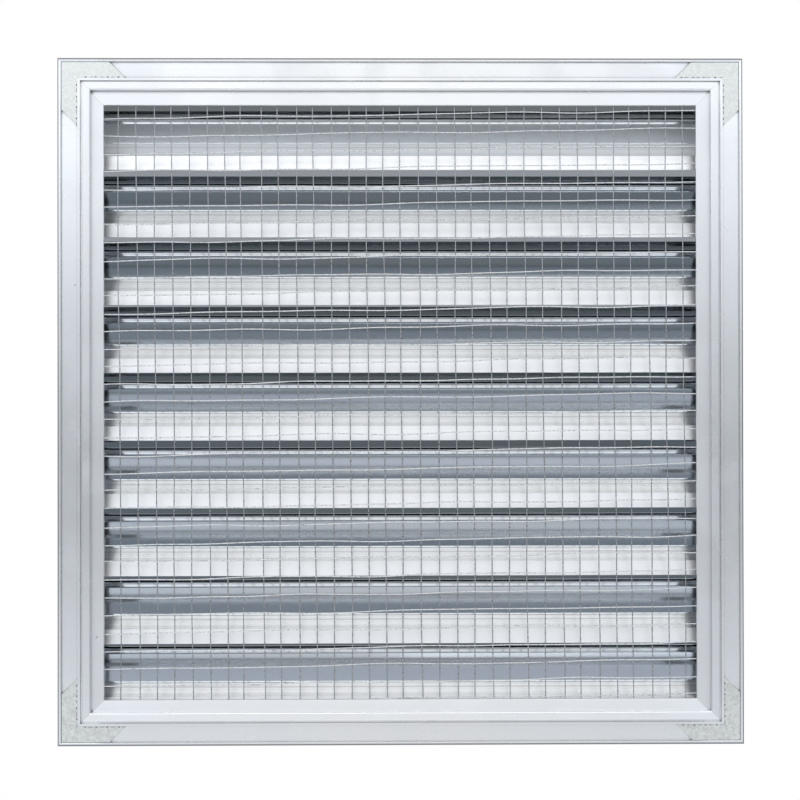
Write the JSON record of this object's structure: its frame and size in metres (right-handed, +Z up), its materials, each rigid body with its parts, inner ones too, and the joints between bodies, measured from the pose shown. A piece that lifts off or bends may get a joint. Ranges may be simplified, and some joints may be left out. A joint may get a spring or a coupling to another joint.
{
  "type": "wall vent",
  "caption": "Square fixed-blade wall vent of extruded aluminium: mitred frame with wall flange and neck, sloping weather blades and a wire bird mesh held by strips behind them.",
  "frame": {"origin": "middle of the vent, in the plane where the flange meets the wall", "axes": "+Z up, +Y into the wall (towards the neck and mesh), -Y towards the weather, X across"},
  "size_m": [0.5194, 0.077, 0.519],
  "materials": {
    "extrusion": "satin, fine lines along the extrusion",
    "blade": "satin mill finish with drawing lines",
    "galvanised": "zinc spangle",
    "wire": "galvanised wire",
    "screw": "dull zinc"
  },
  "bodies": {
    "root": {"frame_left": "extrusion", "mesh_strip_left": "extrusion", "frame_right": "extrusion", "mesh_strip_right": "extrusion", "frame_top": "extrusion", "mesh_strip_top": "extrusion", "frame_bottom": "extrusion", "mesh_strip_bottom": "extrusion", "corner_plate_top_left": "galvanised", "corner_plate_top_right": "galvanised", "corner_plate_bottom_left": "galvanised", "corner_plate_bottom_right": "galvanised", "blade_1": "blade", "blade_2": "blade", "blade_3": "blade", "blade_4": "blade", "blade_5": "blade", "blade_6": "blade", "blade_7": "blade", "blade_8": "blade", "blade_9": "blade", "blade_screws_left": "screw", "blade_screws_right": "screw", "bird_mesh": "wire"}
  },
  "joints": []
}
